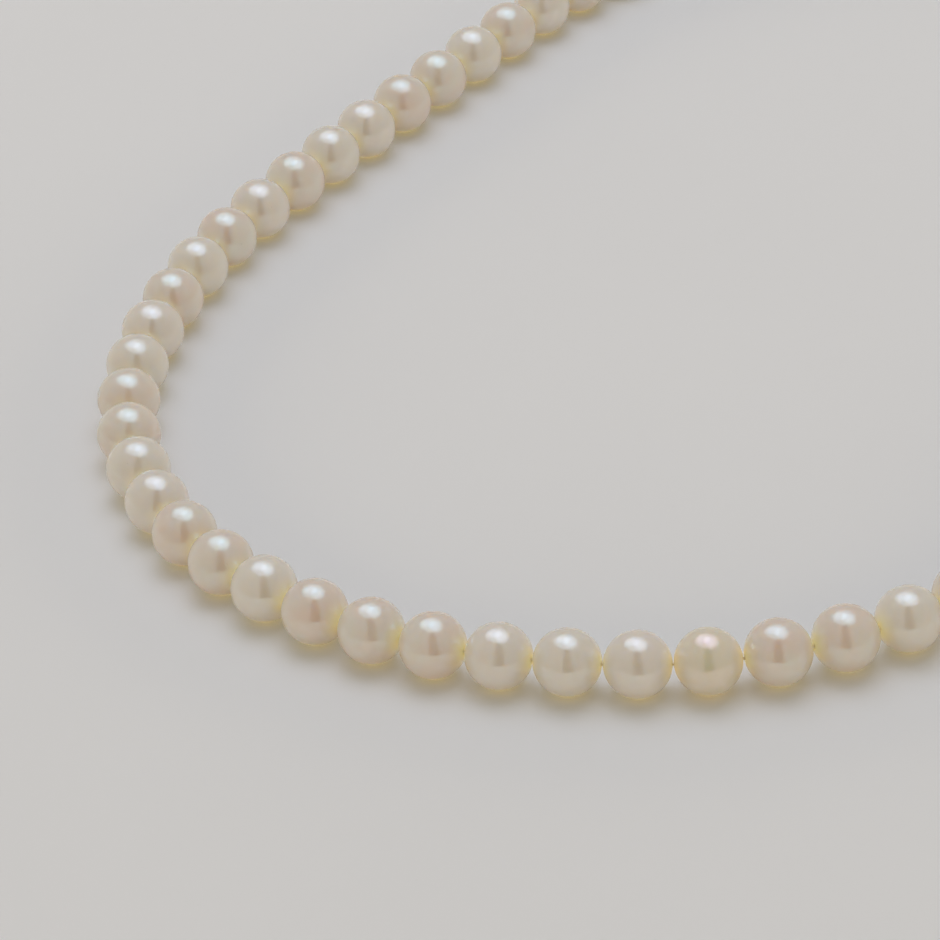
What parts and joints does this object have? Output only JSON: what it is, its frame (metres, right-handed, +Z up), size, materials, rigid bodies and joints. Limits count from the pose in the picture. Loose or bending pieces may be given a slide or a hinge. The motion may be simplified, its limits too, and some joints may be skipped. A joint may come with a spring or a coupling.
{
  "type": "pearl necklace",
  "caption": "Single-strand pearl necklace lying open in a loose curve, with a lobster clasp on one end and the ring it hooks into on the other.",
  "frame": {"origin": "middle of the bounding box, on the surface the necklace lies on", "axes": "+X towards the open side of the curve, +Y from the near pearls to the far ones, +Z up"},
  "size_m": [0.1474, 0.1978, 0.0082],
  "materials": {
    "nacre": "polished nacre, satin lustre with rose, silver and cream overtones",
    "silver": "polished silver-coloured metal",
    "spring_wire": "drawn steel wire",
    "silk": "twisted beading silk, off-white"
  },
  "bodies": {
    "pearl_01": {"pearl_01": "nacre"},
    "pearl_02": {"pearl_02": "nacre"},
    "pearl_03": {"pearl_03": "nacre"},
    "pearl_04": {"pearl_04": "nacre"},
    "pearl_05": {"pearl_05": "nacre"},
    "pearl_06": {"pearl_06": "nacre"},
    "pearl_07": {"pearl_07": "nacre"},
    "pearl_08": {"pearl_08": "nacre"},
    "pearl_09": {"pearl_09": "nacre"},
    "pearl_10": {"pearl_10": "nacre"},
    "pearl_11": {"pearl_11": "nacre"},
    "pearl_12": {"pearl_12": "nacre"},
    "pearl_13": {"pearl_13": "nacre"},
    "pearl_14": {"pearl_14": "nacre"},
    "pearl_15": {"pearl_15": "nacre"},
    "pearl_16": {"pearl_16": "nacre"},
    "pearl_17": {"pearl_17": "nacre"},
    "pearl_18": {"pearl_18": "nacre"},
    "pearl_19": {"pearl_19": "nacre"},
    "pearl_20": {"pearl_20": "nacre"},
    "pearl_21": {"pearl_21": "nacre"},
    "pearl_22": {"pearl_22": "nacre"},
    "pearl_23": {"pearl_23": "nacre"},
    "pearl_24": {"pearl_24": "nacre", "thread": "silk"},
    "pearl_25": {"pearl_25": "nacre"},
    "pearl_26": {"pearl_26": "nacre"},
    "pearl_27": {"pearl_27": "nacre"},
    "pearl_28": {"pearl_28": "nacre"},
    "pearl_29": {"pearl_29": "nacre"},
    "pearl_30": {"pearl_30": "nacre"},
    "pearl_31": {"pearl_31": "nacre"},
    "pearl_32": {"pearl_32": "nacre"},
    "pearl_33": {"pearl_33": "nacre"},
    "pearl_34": {"pearl_34": "nacre"},
    "pearl_35": {"pearl_35": "nacre"},
    "pearl_36": {"pearl_36": "nacre"},
    "pearl_37": {"pearl_37": "nacre"},
    "pearl_38": {"pearl_38": "nacre"},
    "pearl_39": {"pearl_39": "nacre"},
    "pearl_40": {"pearl_40": "nacre"},
    "pearl_41": {"pearl_41": "nacre"},
    "pearl_42": {"pearl_42": "nacre"},
    "pearl_43": {"pearl_43": "nacre"},
    "pearl_44": {"pearl_44": "nacre"},
    "pearl_45": {"pearl_45": "nacre"},
    "pearl_46": {"pearl_46": "nacre"},
    "pearl_47": {"pearl_47": "nacre"},
    "bead_tip_a": {"bead_tip_a": "silver", "crimp_a": "silver"},
    "jump_ring_a": {"jump_ring_a": "silver"},
    "end_ring": {"end_ring": "silver"},
    "bead_tip_b": {"bead_tip_b": "silver", "crimp_b": "silver"},
    "jump_ring_b": {"jump_ring_b": "silver"},
    "clasp_swivel": {"clasp_swivel": "silver"},
    "clasp_body": {"clasp_body": "silver", "clasp_pin": "silver", "clasp_spring": "spring_wire"},
    "clasp_lever": {"clasp_lever": "silver"}
  },
  "joints": [
    {"name": "clasp_lever", "type": "hinge", "parent": "clasp_body", "child": "clasp_lever", "pos_m": [0.06541, 0.0915, 0.00145], "axis": [0, 0, 1], "range_deg": [0, 18], "stiffness_Nm_per_rad": 0.006, "springref_deg": -11.46, "deforming": ["clasp_spring"]},
    {"name": "clasp_spin", "type": "hinge", "parent": "clasp_swivel", "child": "clasp_body", "pos_m": [0.06255, 0.09296, 0.00145], "axis": [0.9945, -0.1045, 0], "range_deg": [-180, 180]},
    {"name": "clasp_turn", "type": "hinge", "parent": "jump_ring_b", "child": "clasp_swivel", "pos_m": [0.05973, 0.09326, 0.00145], "axis": [0, 0, 1], "range_deg": [-35, 35]},
    {"name": "end_ring_turn", "type": "hinge", "parent": "jump_ring_a", "child": "end_ring", "pos_m": [0.05898, -0.02632, 0.00145], "axis": [0, 0, 1], "range_deg": [-35, 35]},
    {"name": "jump_ring_a_turn", "type": "hinge", "parent": "bead_tip_a", "child": "jump_ring_a", "pos_m": [0.0589, -0.02864, 0.00413], "axis": [0, 0, 1], "range_deg": [-30, 30]},
    {"name": "jump_ring_b_turn", "type": "hinge", "parent": "bead_tip_b", "child": "jump_ring_b", "pos_m": [0.05741, 0.0935, 0.0041], "axis": [0, 0, 1], "range_deg": [-30, 30]},
    {"name": "tip_a_bend", "type": "hinge", "parent": "pearl_01", "child": "bead_tip_a", "pos_m": [0.05874, -0.03331, 0.00413], "axis": [0, 0, -1], "range_deg": [-17, 17], "deforming": ["thread"]},
    {"name": "tip_b_bend", "type": "hinge", "parent": "pearl_47", "child": "bead_tip_b", "pos_m": [0.05276, 0.09399, 0.0041], "axis": [0, 0, 1], "range_deg": [-17, 17], "deforming": ["thread"]},
    {"name": "pearl_bend_24", "type": "hinge", "parent": "pearl_24", "child": "pearl_25", "pos_m": [-0.06986, -0.03115, 0.0041], "axis": [0, 0, 1], "range_deg": [-9, 25], "deforming": ["thread"]},
    {"name": "pearl_bend_23", "type": "hinge", "parent": "pearl_24", "child": "pearl_23", "pos_m": [-0.06913, -0.03944, 0.00411], "axis": [0, 0, -1], "range_deg": [-9, 25], "deforming": ["thread"]},
    {"name": "pearl_bend_25", "type": "hinge", "parent": "pearl_25", "child": "pearl_26", "pos_m": [-0.06942, -0.02289, 0.00409], "axis": [0, 0, 1], "range_deg": [-9, 25], "deforming": ["thread"]},
    {"name": "pearl_bend_22", "type": "hinge", "parent": "pearl_23", "child": "pearl_22", "pos_m": [-0.06727, -0.04752, 0.00409], "axis": [0, 0, -1], "range_deg": [-9, 25], "deforming": ["thread"]},
    {"name": "pearl_bend_26", "type": "hinge", "parent": "pearl_26", "child": "pearl_27", "pos_m": [-0.06784, -0.01474, 0.00411], "axis": [0, 0, 1], "range_deg": [-12, 22], "deforming": ["thread"]},
    {"name": "pearl_bend_21", "type": "hinge", "parent": "pearl_22", "child": "pearl_21", "pos_m": [-0.06431, -0.05523, 0.00409], "axis": [0, 0, -1], "range_deg": [-9, 25], "deforming": ["thread"]},
    {"name": "pearl_bend_27", "type": "hinge", "parent": "pearl_27", "child": "pearl_28", "pos_m": [-0.06554, -0.00672, 0.00411], "axis": [0, 0, -1], "range_deg": [-22, 12], "deforming": ["thread"]},
    {"name": "pearl_bend_20", "type": "hinge", "parent": "pearl_21", "child": "pearl_20", "pos_m": [-0.06028, -0.0625, 0.0041], "axis": [0, 0, 1], "range_deg": [-24, 10], "deforming": ["thread"]},
    {"name": "pearl_bend_28", "type": "hinge", "parent": "pearl_28", "child": "pearl_29", "pos_m": [-0.06257, 0.00101, 0.0041], "axis": [0, 0, -1], "range_deg": [-22, 12], "deforming": ["thread"]},
    {"name": "pearl_bend_19", "type": "hinge", "parent": "pearl_20", "child": "pearl_19", "pos_m": [-0.05541, -0.06919, 0.0041], "axis": [0, 0, 1], "range_deg": [-24, 10], "deforming": ["thread"]},
    {"name": "pearl_bend_29", "type": "hinge", "parent": "pearl_29", "child": "pearl_30", "pos_m": [-0.05892, 0.00849, 0.00409], "axis": [0, 0, -1], "range_deg": [-22, 12], "deforming": ["thread"]},
    {"name": "pearl_bend_18", "type": "hinge", "parent": "pearl_19", "child": "pearl_18", "pos_m": [-0.04973, -0.07529, 0.00411], "axis": [0, 0, 1], "range_deg": [-24, 10], "deforming": ["thread"]},
    {"name": "pearl_bend_30", "type": "hinge", "parent": "pearl_30", "child": "pearl_31", "pos_m": [-0.05467, 0.01557, 0.00409], "axis": [0, 0, -1], "range_deg": [-22, 12], "deforming": ["thread"]},
    {"name": "pearl_bend_17", "type": "hinge", "parent": "pearl_18", "child": "pearl_17", "pos_m": [-0.04337, -0.08063, 0.00409], "axis": [0, 0, 1], "range_deg": [-24, 10], "deforming": ["thread"]},
    {"name": "pearl_bend_31", "type": "hinge", "parent": "pearl_31", "child": "pearl_32", "pos_m": [-0.04979, 0.02228, 0.00411], "axis": [0, 0, -1], "range_deg": [-18, 16], "deforming": ["thread"]},
    {"name": "pearl_bend_16", "type": "hinge", "parent": "pearl_17", "child": "pearl_16", "pos_m": [-0.03644, -0.08513, 0.0041], "axis": [0, 0, 1], "range_deg": [-24, 10], "deforming": ["thread"]},
    {"name": "pearl_bend_32", "type": "hinge", "parent": "pearl_32", "child": "pearl_33", "pos_m": [-0.04478, 0.02894, 0.0041], "axis": [0, 0, -1], "range_deg": [-18, 16], "deforming": ["thread"]},
    {"name": "pearl_bend_15", "type": "hinge", "parent": "pearl_16", "child": "pearl_15", "pos_m": [-0.02896, -0.08878, 0.0041], "axis": [0, 0, 1], "range_deg": [-23, 11], "deforming": ["thread"]},
    {"name": "pearl_bend_33", "type": "hinge", "parent": "pearl_33", "child": "pearl_34", "pos_m": [-0.03968, 0.03546, 0.0041], "axis": [0, 0, 1], "range_deg": [-16, 18], "deforming": ["thread"]},
    {"name": "pearl_bend_14", "type": "hinge", "parent": "pearl_15", "child": "pearl_14", "pos_m": [-0.02117, -0.09161, 0.00411], "axis": [0, 0, -1], "range_deg": [-11, 23], "deforming": ["thread"]},
    {"name": "pearl_bend_34", "type": "hinge", "parent": "pearl_34", "child": "pearl_35", "pos_m": [-0.03445, 0.04192, 0.00411], "axis": [0, 0, 1], "range_deg": [-16, 18], "deforming": ["thread"]},
    {"name": "pearl_bend_13", "type": "hinge", "parent": "pearl_14", "child": "pearl_13", "pos_m": [-0.01307, -0.09363, 0.00411], "axis": [0, 0, -1], "range_deg": [-11, 23], "deforming": ["thread"]},
    {"name": "pearl_bend_35", "type": "hinge", "parent": "pearl_35", "child": "pearl_36", "pos_m": [-0.02909, 0.04831, 0.00411], "axis": [0, 0, 1], "range_deg": [-17, 17], "deforming": ["thread"]},
    {"name": "pearl_bend_12", "type": "hinge", "parent": "pearl_13", "child": "pearl_12", "pos_m": [-0.00485, -0.09479, 0.00409], "axis": [0, 0, -1], "range_deg": [-9, 25], "deforming": ["thread"]},
    {"name": "pearl_bend_36", "type": "hinge", "parent": "pearl_36", "child": "pearl_37", "pos_m": [-0.02376, 0.05466, 0.0041], "axis": [0, 0, 1], "range_deg": [-17, 17], "deforming": ["thread"]},
    {"name": "pearl_bend_11", "type": "hinge", "parent": "pearl_12", "child": "pearl_11", "pos_m": [0.00343, -0.09479, 0.0041], "axis": [0, 0, -1], "range_deg": [-9, 25], "deforming": ["thread"]},
    {"name": "pearl_bend_37", "type": "hinge", "parent": "pearl_37", "child": "pearl_38", "pos_m": [-0.01841, 0.06104, 0.0041], "axis": [0, 0, 1], "range_deg": [-17, 17], "deforming": ["thread"]},
    {"name": "pearl_bend_10", "type": "hinge", "parent": "pearl_11", "child": "pearl_10", "pos_m": [0.01168, -0.09363, 0.00411], "axis": [0, 0, -1], "range_deg": [-9, 25], "deforming": ["thread"]},
    {"name": "pearl_bend_38", "type": "hinge", "parent": "pearl_38", "child": "pearl_39", "pos_m": [-0.0131, 0.06737, 0.00409], "axis": [0, 0, 1], "range_deg": [-17, 17], "deforming": ["thread"]},
    {"name": "pearl_bend_09", "type": "hinge", "parent": "pearl_10", "child": "pearl_09", "pos_m": [0.01965, -0.09134, 0.00409], "axis": [0, 0, -1], "range_deg": [-9, 25], "deforming": ["thread"]},
    {"name": "pearl_bend_39", "type": "hinge", "parent": "pearl_39", "child": "pearl_40", "pos_m": [-0.00776, 0.07373, 0.00411], "axis": [0, 0, -1], "range_deg": [-24, 10], "deforming": ["thread"]},
    {"name": "pearl_bend_08", "type": "hinge", "parent": "pearl_09", "child": "pearl_08", "pos_m": [0.02719, -0.08798, 0.00409], "axis": [0, 0, 1], "range_deg": [-25, 9], "deforming": ["thread"]},
    {"name": "pearl_bend_40", "type": "hinge", "parent": "pearl_40", "child": "pearl_41", "pos_m": [-0.00166, 0.07942, 0.0041], "axis": [0, 0, -1], "range_deg": [-24, 10], "deforming": ["thread"]},
    {"name": "pearl_bend_07", "type": "hinge", "parent": "pearl_08", "child": "pearl_07", "pos_m": [0.03425, -0.08357, 0.0041], "axis": [0, 0, 1], "range_deg": [-25, 9], "deforming": ["thread"]},
    {"name": "pearl_bend_41", "type": "hinge", "parent": "pearl_41", "child": "pearl_42", "pos_m": [0.00504, 0.08428, 0.0041], "axis": [0, 0, -1], "range_deg": [-24, 10], "deforming": ["thread"]},
    {"name": "pearl_bend_06", "type": "hinge", "parent": "pearl_07", "child": "pearl_06", "pos_m": [0.04059, -0.07825, 0.00411], "axis": [0, 0, 1], "range_deg": [-25, 9], "deforming": ["thread"]},
    {"name": "pearl_bend_42", "type": "hinge", "parent": "pearl_42", "child": "pearl_43", "pos_m": [0.01231, 0.08832, 0.00409], "axis": [0, 0, -1], "range_deg": [-24, 10], "deforming": ["thread"]},
    {"name": "pearl_bend_05", "type": "hinge", "parent": "pearl_06", "child": "pearl_05", "pos_m": [0.04617, -0.07205, 0.00411], "axis": [0, 0, 1], "range_deg": [-25, 9], "deforming": ["thread"]},
    {"name": "pearl_bend_43", "type": "hinge", "parent": "pearl_43", "child": "pearl_44", "pos_m": [0.01996, 0.09141, 0.00409], "axis": [0, 0, -1], "range_deg": [-24, 10], "deforming": ["thread"]},
    {"name": "pearl_bend_04", "type": "hinge", "parent": "pearl_05", "child": "pearl_04", "pos_m": [0.05081, -0.06517, 0.00409], "axis": [0, 0, 1], "range_deg": [-25, 9], "deforming": ["thread"]},
    {"name": "pearl_bend_44", "type": "hinge", "parent": "pearl_44", "child": "pearl_45", "pos_m": [0.02797, 0.09356, 0.00411], "axis": [0, 0, -1], "range_deg": [-24, 10], "deforming": ["thread"]},
    {"name": "pearl_bend_03", "type": "hinge", "parent": "pearl_04", "child": "pearl_03", "pos_m": [0.05444, -0.05774, 0.0041], "axis": [0, 0, 1], "range_deg": [-25, 9], "deforming": ["thread"]},
    {"name": "pearl_bend_45", "type": "hinge", "parent": "pearl_45", "child": "pearl_46", "pos_m": [0.03622, 0.09471, 0.0041], "axis": [0, 0, 1], "range_deg": [-10, 24], "deforming": ["thread"]},
    {"name": "pearl_bend_02", "type": "hinge", "parent": "pearl_03", "child": "pearl_02", "pos_m": [0.05701, -0.04982, 0.0041], "axis": [0, 0, -1], "range_deg": [-9, 25], "deforming": ["thread"]},
    {"name": "pearl_bend_46", "type": "hinge", "parent": "pearl_46", "child": "pearl_47", "pos_m": [0.04449, 0.09486, 0.00409], "axis": [0, 0, 1], "range_deg": [-10, 24], "deforming": ["thread"]},
    {"name": "pearl_bend_01", "type": "hinge", "parent": "pearl_02", "child": "pearl_01", "pos_m": [0.05845, -0.04166, 0.00411], "axis": [0, 0, -1], "range_deg": [-9, 25], "deforming": ["thread"]}
  ]
}
